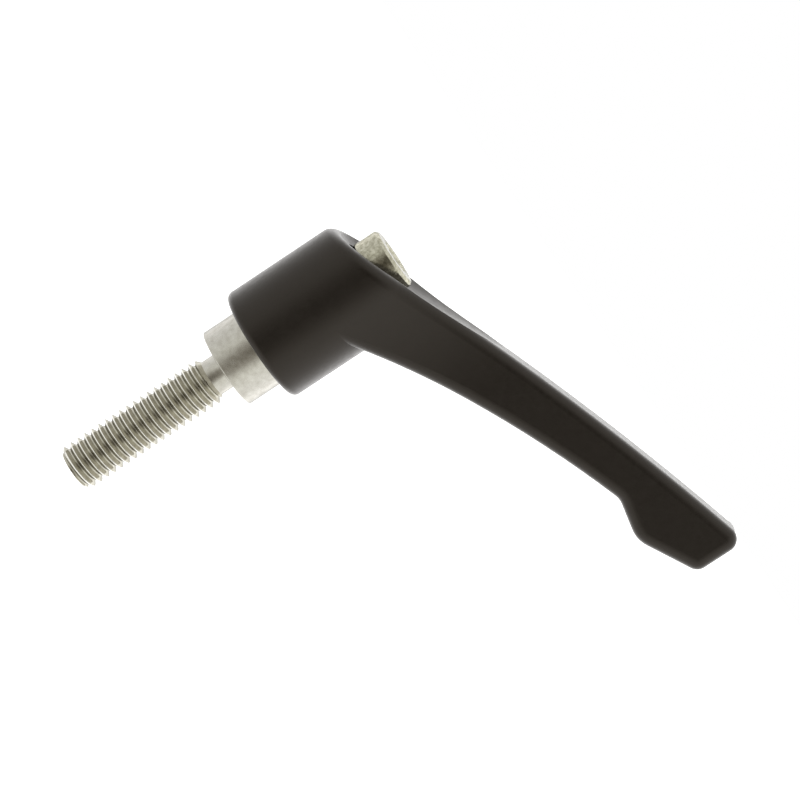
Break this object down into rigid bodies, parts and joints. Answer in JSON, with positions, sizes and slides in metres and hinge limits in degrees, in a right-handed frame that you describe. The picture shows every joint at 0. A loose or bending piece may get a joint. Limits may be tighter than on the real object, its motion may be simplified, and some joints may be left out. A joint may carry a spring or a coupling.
{
  "type": "adjustable clamping lever",
  "caption": "Cranked die-cast arm on a round hub, over a toothed steel insert with a threaded stud; lifting it against its spring lets it be turned to a new angle before clamping.",
  "frame": {"origin": "centre of the collar's lower face, the face that bears on the clamped work", "axes": "+Z along the stud's axis from the stud to the handle, +X the way the arm points at rest, Y across the arm"},
  "size_m": [0.0925, 0.023, 0.0976],
  "materials": {
    "insert_steel": "turned and lightly zinc plated steel",
    "handle_coating": "fine matte black powder coat on zinc die casting",
    "screw_nickel": "warm nickel plated steel, turned",
    "spring_steel": "drawn spring wire"
  },
  "bodies": {
    "insert": {"threaded_insert": "insert_steel", "retaining_screw": "screw_nickel"},
    "coil": {"spring": "spring_steel"},
    "lever": {"handle": "handle_coating"}
  },
  "joints": [
    {"name": "handle_index", "type": "hinge", "parent": "insert", "child": "coil", "pos_m": [0, 0, 0.02], "axis": [0, 0, 1], "continuous": true},
    {"name": "handle_lift", "type": "slide", "parent": "coil", "child": "lever", "axis": [0, 0, 1], "range_m": [0, 0.0048], "stiffness_N_per_m": 1400, "springref_m": -0.003, "deforming": ["spring"]}
  ]
}
